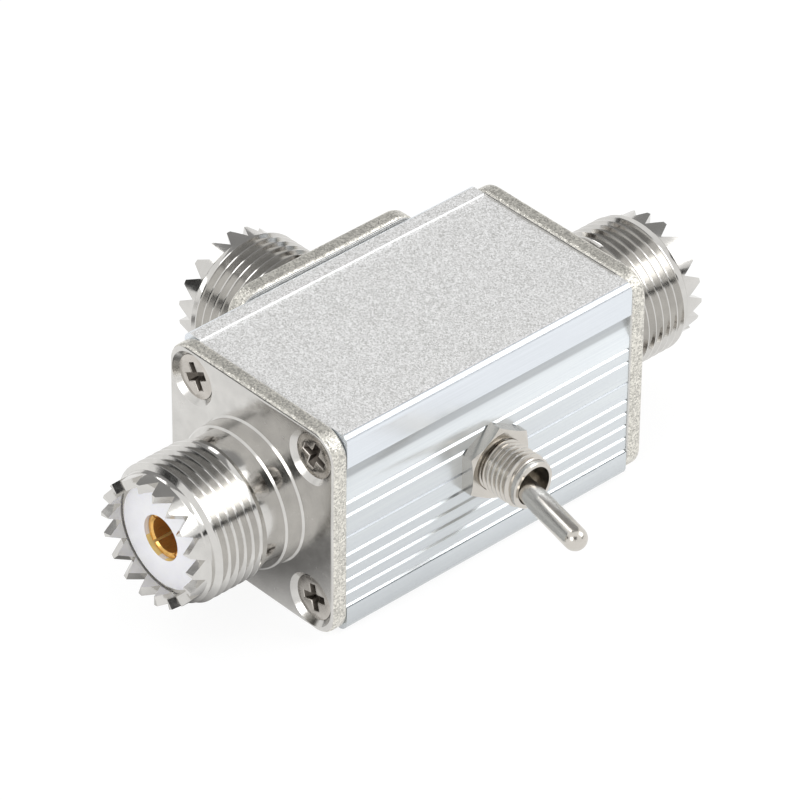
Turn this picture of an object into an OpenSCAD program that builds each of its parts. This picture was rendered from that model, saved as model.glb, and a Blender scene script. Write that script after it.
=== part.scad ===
// Coaxial antenna switch. A split extruded box carries a square flange socket on each end and a
// third, common one on its back. A miniature toggle in the ribbed front wall joins the common
// centre contact to the left or to the right one.
// X runs along the box, the toggle points to -Y and Z is up. The origin lies on the surface that
// the flanges stand on, under the point where the axes of the three sockets cross.

/* [Box] */
// Length of the extruded box, between the end flanges
body_length = 40; // [36:1:60]
// Distance that each edge of a flange stands past the box
flange_step = 0.2; // [0:0.05:0.3]
// Thickness of the extruded walls
wall = 1.5; // [1.4:0.1:1.7]
// Radius of the long top edges
top_radius = 1; // [0.5:0.1:1.4]
// Radius of the long bottom edges
bottom_radius = 1.2; // [0.5:0.1:1.4]
// Depth of the upper shell's skirts below its top
skirt_depth = 3.9; // [3.7:0.1:4.1]
// Depth of the shallow label recess along the top
recess_depth = 0.25; // [0.1:0.05:0.4]
// Width of the rail that the recess leaves along each top edge
rail_width = 2.4; // [2:0.1:3]

/* [Ribbed sides] */
// Height of the flute between the lip and the joint of the shells
flute_height = 3; // [2.7:0.1:3.2]
// Depth of the round flute at the joint, which runs out at the lip
flute_depth = 0.8; // [0.5:0.05:0.85]
// Distance of the rib crests behind the plain bands
rib_setback = 0.15; // [0.05:0.05:0.25]
// Pitch of the ribs
rib_pitch = 1.65; // [1.5:0.01:1.7]
// Depth of the notch between two ribs
rib_notch = 0.4; // [0.2:0.05:0.5]
// Number of notches below the toggle
lower_notches = 5; // [4:1:5]
// Number of notches above the toggle
upper_notches = 2; // [1:1:2]
// Height of the lowest notch above the underside
lowest_notch = 3.2; // [2.8:0.1:3.6]
// Depth of the fine scribed line at the middle of the wide rib
scribe_depth = 0.15; // [0.05:0.01:0.2]

/* [Sockets] */
// Thickness of the flange
flange_thickness = 2; // [1.8:0.1:2.2]
// Radius of the flange corners
flange_corner = 3; // [2:0.1:4]
// Radius of the rolled arrises of the flange
flange_arris = 0.5; // [0.3:0.1:0.7]
// Distance that the screws stand outside the boss, along each side of the flange
screw_offset = 1; // [0.9:0.1:1.2]
// Metal between a countersink and the edge of the flange
flange_margin = 0.48; // [0.4:0.02:0.7]
// Distance that the boss on the flange stands past the thread crests
boss_step = 0.16; // [0.1:0.02:0.4]
// Length of that boss
boss_length = 2.3; // [2:0.1:2.6]
// Depth of the plain neck behind the thread
neck_depth = 0.59; // [0.45:0.01:0.7]
// Distance from the flange face to the start of the thread
thread_start = 4.6; // [4:0.1:5]
// Distance from the flange face to the end of the thread
thread_end = 12; // [11.8:0.1:12.1]
// Pitch of the barrel thread, which is drawn as separate rings
thread_pitch = 1.058; // [1:0.002:1.1]
// Depth of the barrel thread
thread_depth = 0.61; // [0.5:0.01:0.65]
// Crest radius of the barrel thread
thread_radius = 7.94; // [7.9:0.01:8]
// Distance of the crown behind the thread crests
crown_step = 0.79; // [0.65:0.01:0.85]
// Thickness of the toothed crown
crown_wall = 1.1; // [1:0.05:1.2]
// Distance from the flange face to the tips of the teeth
crown_reach = 14.1; // [14:0.1:14.6]
// Number of teeth on the crown
tooth_count = 18; // [18:1:24]
// Height of a tooth
tooth_height = 1.8; // [1.2:0.05:1.8]
// Width of the flat tip of a tooth, outside
tooth_tip = 0.5; // [0.45:0.05:0.8]
// Depth of the ledge between the crown and the insulator
insulator_ledge = 0.25; // [0.2:0.05:0.4]
// Distance from the flange face to the face of the insulator
insulator_face = 12.2; // [11.6:0.1:12.2]
// Width of the insulator's shoulder on the flange
insulator_shoulder = 0.8; // [0.6:0.1:1.2]
// Length of that boss behind the flange
insulator_back = 2.6; // [2.4:0.1:3]
// Outer radius of the centre contact
contact_radius = 2.5; // [2.4:0.05:2.6]
// Radius of the bore that takes the plug's pin
contact_bore = 2; // [1.9:0.05:2.05]
// Depth of that bore
contact_depth = 8.5; // [8:0.5:9]
// Distance from the flange face to the face of the centre contact
contact_face = 11.7; // [11:0.1:11.9]
// Width of the four slots that spring the contact
contact_slot = 0.3; // [0.3:0.05:0.6]
// Length of those slots
contact_slot_length = 5; // [4:0.5:6]
// Radius of the solder cup
cup_radius = 1.6; // [1.4:0.1:1.8]
// Distance that the solder cup reaches behind the flange
cup_reach = 7; // [6.5:0.1:7.4]
// Bore radius of the solder cup
cup_bore = 0.7; // [0.65:0.05:0.9]
// Depth of the bore in the solder cup
cup_depth = 3; // [2:0.5:3.5]

/* [Flange screws] */
// Radius of the screw thread
screw_radius = 1.5; // [1.4:0.05:1.5]
// Length of an end screw, head and all
end_screw_length = 8; // [6:1:10]
// Length of a screw of the back flange, head and all
back_screw_length = 6; // [5:0.5:6.5]
// Radius of the countersink at the flange face
countersink_radius = 3.12; // [3:0.02:3.2]
// Distance that the heads sit below the flange face
head_sink = 0.5; // [0.3:0.05:0.5]
// Width of the arms of the cross recess
cross_width = 0.9; // [0.6:0.05:0.9]
// Length across the cross recess
cross_span = 3.2; // [2.4:0.1:3.2]
// Depth of the cross recess
cross_depth = 0.7; // [0.5:0.1:0.7]

/* [Toggle] */
// Radius of the threaded bushing
bushing_radius = 3; // [2.9:0.05:3.05]
// Length of the bushing, from the frame to its rim
bushing_length = 9; // [8.6:0.1:9.4]
// Thickness of the bushing at its bore
bushing_wall = 0.8; // [0.75:0.05:0.8]
// Depth of the plain end of the bushing below its thread crests
rim_step = 0.28; // [0.2:0.02:0.4]
// Length of that plain end
rim_length = 0.7; // [0.5:0.1:1]
// Depth of the lever's pivot inside the rim
pivot_depth = 4.2; // [4:0.1:4.2]
// Tilt of the lever to either side
lever_tilt = 12.4; // [11:0.1:12.4]
// Distance from the pivot to the centre of the lever's round tip
lever_reach = 13.7; // [11:0.1:16]
// Radius of the lever
lever_radius = 1.33; // [1.25:0.01:1.4]
// Distance that the waist of the lever lies below its handle
waist_step = 0.13; // [0.1:0.01:0.2]
// Thickness of the hollow arm below the ball
arm_wall = 0.3; // [0.25:0.01:0.33]
// Thickness of the nut between its thread and a flat
nut_wall = 0.9; // [0.8:0.1:1.5]
// Thickness of the nut
nut_thickness = 1.7; // [1.4:0.1:2]
// Turn of the nut on the bushing
nut_turn = 30; // [0:1:59]
// Width of the two washers' rings
washer_ring = 1.9; // [1.4:0.1:2.3]
// Thickness of the lock washer
washer_thickness = 0.5; // [0.4:0.1:0.8]
// Thickness of the locating washer
locating_thickness = 0.5; // [0.4:0.1:0.8]

/* [Switch body] */
// Length of the switch case
case_length = 12.7; // [12.5:0.1:13.4]
// Width of the switch case
case_width = 6.8; // [6.4:0.1:8]
// Height of the switch case
case_height = 7.6; // [7.6:0.1:8]
// Thickness of the case walls
case_wall = 0.9; // [0.8:0.05:0.95]
// Thickness of the sheet metal frame
sheet = 0.4; // [0.3:0.05:0.5]
// Distance of an outer terminal from the end of the case's hollow
terminal_margin = 0.95; // [0.85:0.05:1.1]
// Thickness of the terminal blades
blade_thickness = 0.8; // [0.6:0.05:0.85]
// Width of the terminal blades
blade_width = 2; // [1.6:0.1:2.4]
// Distance that the terminals reach out of the case
lug_reach = 4.2; // [3.6:0.1:5]
// Tilt of the rocker to either side
rocker_tilt = 10; // [9:0.5:10]
// Distance of the rocker's ends from the ends of the hollow
rocker_margin = 0.65; // [0.55:0.05:0.85]
// Width of the rocker
rocker_width = 3.2; // [2.6:0.1:3.6]
// Radius of the wires between the terminals and the sockets
wire_radius = 0.5; // [0.4:0.05:0.6]

/* [Clearances] */
// Radial gap between two pieces that are pressed or screwed together
fit_gap = 0.03; // [0.02:0.01:0.05]
// Gap between the shells, and round the bushing in the wall
seat_gap = 0.1; // [0.05:0.01:0.15]
// Gap between the plunger and the rocker at mid throw
plunger_gap = 0.1; // [0.1:0.02:0.2]

/* [Hidden] */
$fn = 64;

// Overrun of every cut past the face that it opens
overrun = 0.5;

// Box
boss_radius = thread_radius + boss_step;
boss_edge = 0.2;
port_place = boss_radius + screw_offset;
axis_height = port_place + countersink_radius + flange_margin;
flange_side = 2 * axis_height;
half_length = body_length / 2;
half_width = axis_height - flange_step;
half_height = half_width;
body_width = 2 * half_width;
body_height = 2 * half_height;
seam_height = half_height - skirt_depth;
lip_height = seam_height - flute_height;
crest = half_width - rib_setback;
flute_sag = flute_depth - rib_setback;
flute_radius = (pow(flute_height, 2) + pow(flute_sag, 2)) / (2 * flute_sag);
flute_centre = [crest + flute_radius - flute_sag, seam_height];
first_notch = lowest_notch - half_height;
upper_notch = lip_height - rib_pitch;
scribe_height = (first_notch + (lower_notches - 1) * rib_pitch
    + upper_notch - (upper_notches - 1) * rib_pitch) / 2;
port_bore = screw_radius + fit_gap;
port_skin = 0.6;
port_radius = screw_radius + port_skin;
port_slot = 1.2;

// Sockets
flange_face = flange_thickness;
neck_radius = thread_radius - neck_depth;
crown_radius = thread_radius - crown_step;
crown_bore = crown_radius - crown_wall;
insulator_radius = crown_bore - insulator_ledge;
insulator_boss = insulator_radius - insulator_shoulder;
thread_lead = 0.2;
thread_land = thread_end - crown_step - thread_start;
ring_crest_share = 0.25;
ring_root_share = 0.17;
ring_count = floor((thread_land - thread_lead) / thread_pitch);
groove_half = (1 - ring_crest_share) * thread_pitch / 2;
root_half = ring_root_share * thread_pitch / 2;
thread_root = thread_radius - thread_depth;
crown_root = 0.15;
tooth_pitch = 2 * PI * crown_radius / tooth_count;
notch_width = tooth_pitch - tooth_tip;
insulator_step = 0.6;
contact_back = contact_face - contact_depth - insulator_step;
cup_mouth_share = 0.6;
back_hole = insulator_boss + seat_gap;

// Screws
screw_clearance = 0.1;
flange_hole = screw_radius + screw_clearance;
head_radius = countersink_radius - head_sink - fit_gap;
head_height = head_radius - screw_radius;

// Toggle, with its own z running out of the box from the face of the frame
frame_place = half_width - wall - washer_thickness - locating_thickness;
nut_seat = crest - frame_place;
bushing_bore = bushing_radius - bushing_wall;
rim_radius = bushing_radius - rim_step;
ball_gap = 0.2;
ball_radius = bushing_bore - ball_gap;
waist_radius = lever_radius - waist_step;
pivot_z = bushing_length - pivot_depth;
seat_lift = 1;
seat_land = 0.4;
seat_clearance = 0.1;
seat_bore = ball_radius * cos(asin(seat_lift / ball_radius)) + seat_clearance / 2;
ball_bore = ball_radius + seat_clearance;
thread_relief = 0.3;
waist_length = pivot_depth;
shoulder_length = 3;
arm_length = 5.4;
arm_bore = 0.65;
arm_radius = arm_bore + arm_wall;
arm_bore_length = 3.5;
plunger_radius = 1.1;
plunger_head = 5.9;
plunger_reach = 8.2;
stem_radius = arm_bore - fit_gap;
stem_length = 2.3;
spring_radius = stem_radius;
spring_wire = 0.25;
nut_corner = (bushing_radius + nut_wall) / cos(30);
washer_radius = bushing_radius + seat_gap + washer_ring;
nut_chamfer = 0.3;
washer_teeth = 10;
washer_slot = 0.6;

// Switch body
case_top = -sheet;
case_floor = case_top - case_height;
case_mouth = 2.8;
cavity_length = case_length - 2 * case_wall;
cavity_width = case_width - 2 * case_wall;
terminal_pitch = cavity_length / 2 - terminal_margin;
rocker_half = cavity_length / 2 - rocker_margin;
base_thickness = 2;
frame_width = 7.6;
leg_width = 4.5;
leg_length = 5.5;
tab_width = 1.4;
tab_reach = 1;
rocker_height = 1;
rocker_sheet = 0.6;
rocker_block = 0.9;
saddle_radius = 0.45;
saddle_gap = 0.05;
rocker_z = pivot_z - plunger_reach - plunger_gap - rocker_height;
pad_drop = 0.05;
pad_top = rocker_z + (rocker_height - rocker_sheet) * cos(rocker_tilt) - pad_drop;
pad_thickness = 0.6;
pad_length = 1.6;
lug_end = case_floor - lug_reach;
lug_hole = 0.45;
lug_hole_margin = 1.1;

// Colours
anodised = [0.83, 0.85, 0.87];
blasted = [0.78, 0.78, 0.76];
nickel = [0.76, 0.74, 0.71];
ptfe = [0.92, 0.92, 0.96];
gold = [0.86, 0.66, 0.28];
steel = [0.62, 0.6, 0.57];
phenolic = [0.13, 0.24, 0.5];
nylon = [0.9, 0.88, 0.8];
silver = [0.82, 0.82, 0.8];
tin = [0.72, 0.7, 0.66];

// Lifts what is drawn round the crossing of the socket axes to its height above the floor.
module at_axis() {
    translate([0, 0, axis_height]) children();
}

// Turns a side profile, drawn as depth and height, into a bar along the box.
module along_box(length) {
    rotate([90, 0, 90]) linear_extrude(height = length, center = true) children();
}

// The outer section of the whole box, with round long edges and no ribs.
module box_section() {
    for (edge = [[1, top_radius], [-1, bottom_radius]]) {
        for (side = [-1, 1]) {
            translate([side * (half_width - edge[1]), edge[0] * (half_height - edge[1])])
                circle(r = edge[1]);
        }
    }
    polygon([
        [-half_width, bottom_radius - half_height],
        [bottom_radius - half_width, -half_height],
        [half_width - bottom_radius, -half_height],
        [half_width, bottom_radius - half_height],
        [half_width, half_height - top_radius],
        [half_width - top_radius, half_height],
        [top_radius - half_width, half_height],
        [-half_width, half_height - top_radius]]);
}

// One notch between two ribs: a flat roof and a flank that faces up.
module rib_notch_section(height) {
    polygon([[crest, height], [crest - rib_notch, height + rib_notch],
        [crest + overrun, height + rib_notch], [crest + overrun, height]]);
}

// Everything that is cut from one ribbed side of the lower shell.
module rib_cuts() {
    for (i = [0 : lower_notches - 1]) {
        rib_notch_section(first_notch + i * rib_pitch);
    }
    for (i = [0 : upper_notches - 1]) {
        rib_notch_section(upper_notch - i * rib_pitch);
    }
    polygon([[crest - scribe_depth, scribe_height], [crest, scribe_height + scribe_depth],
        [crest + overrun, scribe_height + scribe_depth], [crest + overrun, scribe_height - scribe_depth],
        [crest, scribe_height - scribe_depth]]);
    translate([crest, first_notch]) square([rib_setback + overrun, seam_height - first_notch]);
    translate(flute_centre) circle(r = flute_radius);
}

// A screw port: a round boss whose bore is open along a slot towards the middle of the box.
module port_bosses(side) {
    for (y = [-port_place, port_place]) translate([y, side * port_place]) circle(r = port_radius);
}

module port_cuts(side) {
    for (y = [-1, 1]) {
        translate([y * port_place, side * port_place]) {
            circle(r = port_bore);
            rotate(atan2(-side, -y)) translate([0, -port_slot / 2]) square([2 * port_radius, port_slot]);
        }
    }
}

// Cross holes in the box for the four screws of the back flange.
module back_screw_holes() {
    for (x = [-port_place, port_place], z = [-port_place, port_place]) {
        translate([x, half_width + overrun, z]) rotate([90, 0, 0])
            cylinder(h = back_screw_length + overrun, r = port_bore);
    }
}

module upper_shell() {
    color(blasted) at_axis() difference() {
        along_box(body_length) difference() {
            intersection() {
                union() {
                    difference() {
                        box_section();
                        translate([wall - half_width, -half_height])
                            square([body_width - 2 * wall, body_height - wall]);
                    }
                    port_bosses(1);
                }
                union() {
                    translate([-half_width, seam_height])
                        square([body_width, half_height - seam_height]);
                    port_bosses(1);
                }
            }
            port_cuts(1);
            translate([rail_width - half_width, half_height - recess_depth])
                square([body_width - 2 * rail_width, recess_depth + overrun]);
        }
        back_screw_holes();
    }
}

module lower_shell() {
    color(anodised) at_axis() difference() {
        along_box(body_length) difference() {
            union() {
                difference() {
                    box_section();
                    translate([wall - half_width, wall - half_height])
                        square([body_width - 2 * wall, body_height]);
                }
                port_bosses(-1);
            }
            translate([-half_width - overrun, seam_height])
                square([body_width + 2 * overrun, body_height]);
            for (y = [-port_place, port_place]) {
                translate([y, port_place]) circle(r = port_radius + seat_gap);
            }
            port_cuts(-1);
            rib_cuts();
            mirror([1, 0]) rib_cuts();
        }
        back_screw_holes();
        rotate([90, 0, 0]) cylinder(h = half_width + overrun, r = bushing_radius + seat_gap);
        rotate([-90, 0, 0]) cylinder(h = half_width + overrun, r = back_hole);
    }
}

// The three sockets are drawn with their axis on z, from the back of the flange outwards.
module at_left() {
    at_axis() translate([-half_length, 0, 0]) rotate([0, -90, 0]) children();
}

module at_right() {
    at_axis() translate([half_length, 0, 0]) rotate([0, 90, 0]) children();
}

module at_rear() {
    at_axis() translate([0, half_width, 0]) rotate([-90, 0, 0]) children();
}

module at_flange_screws() {
    for (x = [-port_place, port_place], y = [-port_place, port_place]) {
        translate([x, y, 0]) children();
    }
}

// Half of a plate's edge section: full width between two rolled arrises.
module rolled_section(half) {
    square([half - flange_arris, flange_thickness]);
    translate([0, flange_arris]) square([half, flange_thickness - 2 * flange_arris]);
    for (y = [flange_arris, flange_thickness - flange_arris]) {
        translate([half - flange_arris, y]) circle(r = flange_arris);
    }
}

// A square plate with round corners and rolled arrises.
module flange_plate() {
    corner_place = flange_side / 2 - flange_corner;
    for (turn = [0, 90]) {
        rotate([90, 0, turn]) linear_extrude(height = 2 * corner_place, center = true) {
            rolled_section(flange_side / 2);
            mirror([1, 0]) rolled_section(flange_side / 2);
        }
    }
    for (x = [-corner_place, corner_place], y = [-corner_place, corner_place]) {
        translate([x, y, 0]) rotate_extrude() rolled_half(flange_corner);
    }
}

// The same section, cut at the axis so that it can be turned.
module rolled_half(radius) {
    intersection() {
        rolled_section(radius);
        square([radius, flange_thickness]);
    }
}

// The profile points of one groove between two of the rings that stand for the thread.
function groove(middle) = [
    [thread_radius, middle - groove_half],
    [thread_root, middle - root_half],
    [thread_root, middle + root_half],
    [thread_radius, middle + groove_half]];

// The turned barrel: boss, neck, thread rings and the blank of the crown.
module barrel_blank() {
    boss_end = flange_face + boss_length;
    start = flange_face + thread_start;
    end = flange_face + thread_end;
    tip = flange_face + crown_reach;
    first = start + thread_lead + (ring_crest_share * thread_pitch) / 2 + groove_half;
    rotate_extrude() polygon([
        [0, flange_face / 2],
        [boss_radius + boss_edge, flange_face / 2],
        [boss_radius + boss_edge, flange_face],
        [boss_radius, flange_face + boss_edge],
        [boss_radius, boss_end - boss_edge],
        [boss_radius - boss_edge, boss_end],
        [neck_radius, boss_end],
        [neck_radius, start],
        [thread_radius - thread_lead, start],
        [thread_radius, start + thread_lead],
        for (i = [0 : ring_count - 1]) each groove(first + i * thread_pitch),
        [thread_radius, end - (thread_radius - crown_radius)],
        [crown_radius, end],
        [crown_radius, tip],
        [0, tip]]);
}

// One V notch, cut straight through the crown ring along a radius.
module crown_notch() {
    widen = (tooth_height + overrun) / tooth_height;
    translate([crown_bore - overrun, 0, flange_face + crown_reach - tooth_height])
        rotate([90, 0, 90]) linear_extrude(height = crown_radius - crown_bore + 2 * overrun)
            polygon([[0, 0], [notch_width / 2 * widen, tooth_height + overrun],
                [-notch_width / 2 * widen, tooth_height + overrun]]);
}

module socket_shell() {
    tip = flange_face + crown_reach;
    color(nickel) difference() {
        union() {
            flange_plate();
            barrel_blank();
        }
        translate([0, 0, -overrun])
            cylinder(h = tip, r = insulator_boss + fit_gap);
        translate([0, 0, insulator_step])
            cylinder(h = tip, r = insulator_radius + fit_gap);
        translate([0, 0, flange_face + insulator_face - crown_root])
            cylinder(h = tip, r = crown_bore);
        for (i = [0 : tooth_count - 1]) rotate([0, 0, i * 360 / tooth_count]) crown_notch();
        at_flange_screws() {
            translate([0, 0, -overrun]) cylinder(h = flange_thickness + 2 * overrun, r = flange_hole);
            translate([0, 0, flange_face - countersink_radius])
                cylinder(h = countersink_radius + overrun, r1 = 0, r2 = countersink_radius + overrun);
        }
    }
}

module socket_insulator() {
    face = flange_face + insulator_face;
    seat = flange_face + contact_back;
    color(ptfe) rotate_extrude() polygon([
        [cup_radius + fit_gap, -insulator_back],
        [insulator_boss, -insulator_back],
        [insulator_boss, insulator_step],
        [insulator_radius, insulator_step],
        [insulator_radius, face],
        [contact_radius + seat_gap, face],
        [contact_radius + seat_gap, seat],
        [cup_radius + fit_gap, seat]]);
}

module centre_contact() {
    face = flange_face + contact_face;
    seat = flange_face + contact_back;
    lip = 0.2;
    color(gold) difference() {
        union() {
            translate([0, 0, -cup_reach]) cylinder(h = cup_reach + seat, r = cup_radius);
            translate([0, 0, seat]) cylinder(h = face - seat, r = contact_radius);
        }
        translate([0, 0, face - contact_depth])
            cylinder(h = contact_depth + overrun, r = contact_bore);
        translate([0, 0, face - lip])
            cylinder(h = 2 * lip, r1 = contact_bore, r2 = contact_bore + 2 * lip);
        for (turn = [45, 135]) {
            rotate([0, 0, turn])
                translate([-contact_radius - overrun, -contact_slot / 2, face - contact_slot_length])
                    cube([2 * (contact_radius + overrun), contact_slot, contact_slot_length + overrun]);
        }
        translate([0, 0, -cup_reach - overrun]) cylinder(h = cup_depth + overrun, r = cup_bore);
        translate([cup_bore / 2, -cup_radius - overrun, -cup_reach - overrun])
            cube([cup_radius + overrun, 2 * (cup_radius + overrun),
                cup_depth * cup_mouth_share + overrun]);
    }
}

// A countersunk screw, head outwards, with a plain shank at its thread radius.
module flat_screw(length, turn) {
    top = flange_face - head_sink;
    rotate([0, 0, turn]) difference() {
        union() {
            translate([0, 0, top - head_height])
                cylinder(h = head_height, r1 = screw_radius, r2 = head_radius);
            translate([0, 0, top - length]) cylinder(h = length, r = screw_radius);
        }
        for (arm = [0, 90]) {
            rotate([0, 0, arm]) translate([-cross_span / 2, -cross_width / 2, top - cross_depth])
                cube([cross_span, cross_width, cross_depth + overrun]);
        }
    }
}

// Each flange has four screws, each stopped at another angle.
module flange_screws(length, turns) {
    places = [[-port_place, -port_place], [port_place, -port_place],
        [port_place, port_place], [-port_place, port_place]];
    color(steel) for (i = [0 : 3]) {
        translate([places[i][0], places[i][1], 0]) flat_screw(length, turns[i]);
    }
}

module left_socket_shell() { at_left() socket_shell(); }
module left_insulator() { at_left() socket_insulator(); }
module left_centre_contact() { at_left() centre_contact(); }
module left_end_screws() { at_left() flange_screws(end_screw_length, [12, 70, 28, 50]); }

module right_socket_shell() { at_right() socket_shell(); }
module right_insulator() { at_right() socket_insulator(); }
module right_centre_contact() { at_right() centre_contact(); }
module right_end_screws() { at_right() flange_screws(end_screw_length, [33, 5, 61, 80]); }

module rear_socket_shell() { at_rear() socket_shell(); }
module rear_insulator() { at_rear() socket_insulator(); }
module rear_centre_contact() { at_rear() centre_contact(); }
module rear_flange_screws() { at_rear() flange_screws(back_screw_length, [20, 44, 75, 9]); }

// The toggle is drawn with its axis on z, out of the box, from the face of the switch frame.
module at_toggle() {
    at_axis() translate([0, -frame_place, 0]) rotate([90, 0, 0]) children();
}

module toggle_bushing() {
    ball_top = pivot_z + seat_lift;
    rim = bushing_length - rim_length;
    color(nickel) at_toggle() rotate_extrude() polygon([
        [bushing_bore, -sheet],
        [bushing_radius, -sheet],
        [bushing_radius, rim - (bushing_radius - rim_radius)],
        [rim_radius, rim],
        [rim_radius, bushing_length - thread_relief / 2],
        [rim_radius - thread_relief / 2, bushing_length],
        [bushing_bore, bushing_length],
        [bushing_bore, ball_top + seat_land],
        [seat_bore, ball_top + seat_land],
        [seat_bore, ball_top],
        [ball_bore, ball_top],
        [ball_bore, pivot_z],
        [bushing_bore, pivot_z - seat_lift]]);
}

// The lever with its ball at the origin, leaning to the side that it was last thrown to.
module at_lever() {
    at_toggle() translate([0, 0, pivot_z]) rotate([0, -lever_tilt, 0]) children();
}

module toggle_lever() {
    color(nickel) at_lever() difference() {
        union() {
            sphere(r = ball_radius);
            cylinder(h = waist_length, r = waist_radius);
            translate([0, 0, waist_length])
                cylinder(h = shoulder_length, r1 = waist_radius, r2 = lever_radius);
            translate([0, 0, waist_length + shoulder_length])
                cylinder(h = lever_reach - waist_length - shoulder_length, r = lever_radius);
            translate([0, 0, lever_reach]) sphere(r = lever_radius);
            translate([0, 0, -arm_length]) cylinder(h = arm_length, r = arm_radius);
        }
        translate([0, 0, -arm_length - overrun])
            cylinder(h = arm_bore_length + overrun, r = arm_bore);
    }
}

module lever_plunger() {
    ball = plunger_reach - plunger_radius;
    color(nylon) at_lever() {
        translate([0, 0, -plunger_head]) cylinder(h = stem_length, r = stem_radius);
        translate([0, 0, -ball]) cylinder(h = ball - plunger_head, r = plunger_radius);
        translate([0, 0, -ball]) sphere(r = plunger_radius);
    }
}

module plunger_spring() {
    low = stem_length - plunger_head;
    high = arm_bore_length - arm_length;
    color(steel) at_lever() translate([0, 0, low]) difference() {
        cylinder(h = high - low, r = spring_radius);
        translate([0, 0, -overrun])
            cylinder(h = high - low + 2 * overrun, r = spring_radius - spring_wire);
    }
}

module panel_nut() {
    color(nickel) at_toggle() translate([0, 0, nut_seat]) rotate([0, 0, nut_turn]) difference() {
        intersection() {
            cylinder(h = nut_thickness, r = nut_corner, $fn = 6);
            rotate_extrude() polygon([[0, 0], [nut_corner, 0],
                [nut_corner, nut_thickness - nut_chamfer],
                [nut_corner - 2 * nut_chamfer, nut_thickness], [0, nut_thickness]]);
        }
        translate([0, 0, -overrun])
            cylinder(h = nut_thickness + 2 * overrun, r = bushing_radius + fit_gap);
    }
}

module lock_washer() {
    ring = (washer_radius + bushing_radius) / 2;
    color(steel) at_toggle() difference() {
        cylinder(h = washer_thickness, r = washer_radius);
        translate([0, 0, -overrun])
            cylinder(h = washer_thickness + 2 * overrun, r = bushing_radius + seat_gap);
        for (i = [0 : washer_teeth - 1]) {
            rotate([0, 0, i * 360 / washer_teeth]) translate([0, -washer_slot / 2, -overrun])
                cube([ring, washer_slot, washer_thickness + 2 * overrun]);
        }
    }
}

// A plain ring with a short tab, between the lock washer and the wall of the box.
module locating_washer() {
    color(steel) at_toggle() translate([0, 0, washer_thickness]) difference() {
        union() {
            cylinder(h = locating_thickness, r = washer_radius);
            translate([0, -tab_width / 2, 0])
                cube([washer_radius + tab_reach, tab_width, locating_thickness]);
        }
        translate([0, 0, -overrun])
            cylinder(h = locating_thickness + 2 * overrun, r = bushing_radius + seat_gap);
    }
}

module toggle_frame() {
    color(steel) at_toggle() difference() {
        union() {
            translate([-case_length / 2 - sheet, -frame_width / 2, -sheet])
                cube([case_length + 2 * sheet, frame_width, sheet]);
            for (side = [-1, 1]) {
                translate([side * (case_length + sheet) / 2 - sheet / 2, -leg_width / 2, -leg_length])
                    cube([sheet, leg_width, leg_length]);
            }
        }
        translate([0, 0, -sheet - overrun])
            cylinder(h = sheet + 2 * overrun, r = bushing_radius + fit_gap);
    }
}

module switch_case() {
    color(phenolic) at_toggle() difference() {
        translate([-case_length / 2, -case_width / 2, case_floor])
            cube([case_length, case_width, case_height]);
        translate([-cavity_length / 2, -cavity_width / 2, case_floor - overrun])
            cube([cavity_length, cavity_width, case_height - case_wall + overrun]);
        translate([0, 0, case_top - case_wall - overrun])
            cylinder(h = case_wall + 2 * overrun, r = case_mouth);
    }
}

// The plate that closes the case and holds the three blades.
module terminal_base() {
    length = cavity_length - 2 * fit_gap;
    width = cavity_width - 2 * fit_gap;
    hole = [blade_thickness + 2 * fit_gap, blade_width + 2 * fit_gap];
    color(phenolic) at_toggle() difference() {
        translate([-length / 2, -width / 2, case_floor]) cube([length, width, base_thickness]);
        for (x = [-terminal_pitch, 0, terminal_pitch]) {
            translate([x - hole[0] / 2, -hole[1] / 2, case_floor - overrun])
                cube([hole[0], hole[1], base_thickness + 2 * overrun]);
        }
    }
}

// A blade from a given height down to the solder lug, with the lug's hole.
module terminal_blade(top) {
    difference() {
        translate([-blade_thickness / 2, -blade_width / 2, lug_end])
            cube([blade_thickness, blade_width, top - lug_end]);
        translate([-blade_thickness / 2 - overrun, 0, lug_end + lug_hole_margin])
            rotate([0, 90, 0]) cylinder(h = blade_thickness + 2 * overrun, r = lug_hole);
    }
}

// The middle terminal carries the rocker on a round saddle.
module terminal_common() {
    color(silver) at_toggle() {
        terminal_blade(rocker_z);
        translate([0, 0, rocker_z]) rotate([90, 0, 0])
            cylinder(h = blade_width, r = saddle_radius, center = true);
    }
}

module side_terminal(side) {
    color(silver) at_toggle() translate([side * terminal_pitch, 0, 0]) {
        terminal_blade(pad_top - pad_thickness);
        translate([-pad_length / 2, -blade_width / 2, pad_top - pad_thickness])
            cube([pad_length, blade_width, pad_thickness]);
    }
}

module terminal_left() { side_terminal(-1); }
module terminal_right() { side_terminal(1); }

// A shallow V of strip on a block whose groove rides on the saddle.
module rocker_contact() {
    rise = tan(rocker_tilt);
    end_top = rocker_height + rocker_half * rise;
    color(silver) at_toggle() translate([0, 0, rocker_z]) rotate([0, rocker_tilt, 0])
        rotate([90, 0, 0]) linear_extrude(height = rocker_width, center = true) difference() {
            polygon([
                [0, rocker_height],
                [rocker_half, end_top],
                [rocker_half, end_top - rocker_sheet],
                [rocker_block, rocker_height + rocker_block * rise - rocker_sheet],
                [rocker_block, 0],
                [-rocker_block, 0],
                [-rocker_block, rocker_height + rocker_block * rise - rocker_sheet],
                [-rocker_half, end_top - rocker_sheet],
                [-rocker_half, end_top]]);
            circle(r = saddle_radius + saddle_gap);
        }
}

// Each wire starts at the bottom of a solder cup and ends on its terminal.
module wire_common() {
    start = half_width - cup_reach + cup_depth;
    finish = -frame_place - lug_end;
    color(tin) at_axis() translate([0, finish, 0]) rotate([-90, 0, 0])
        cylinder(h = start - finish, r = wire_radius);
}

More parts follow.
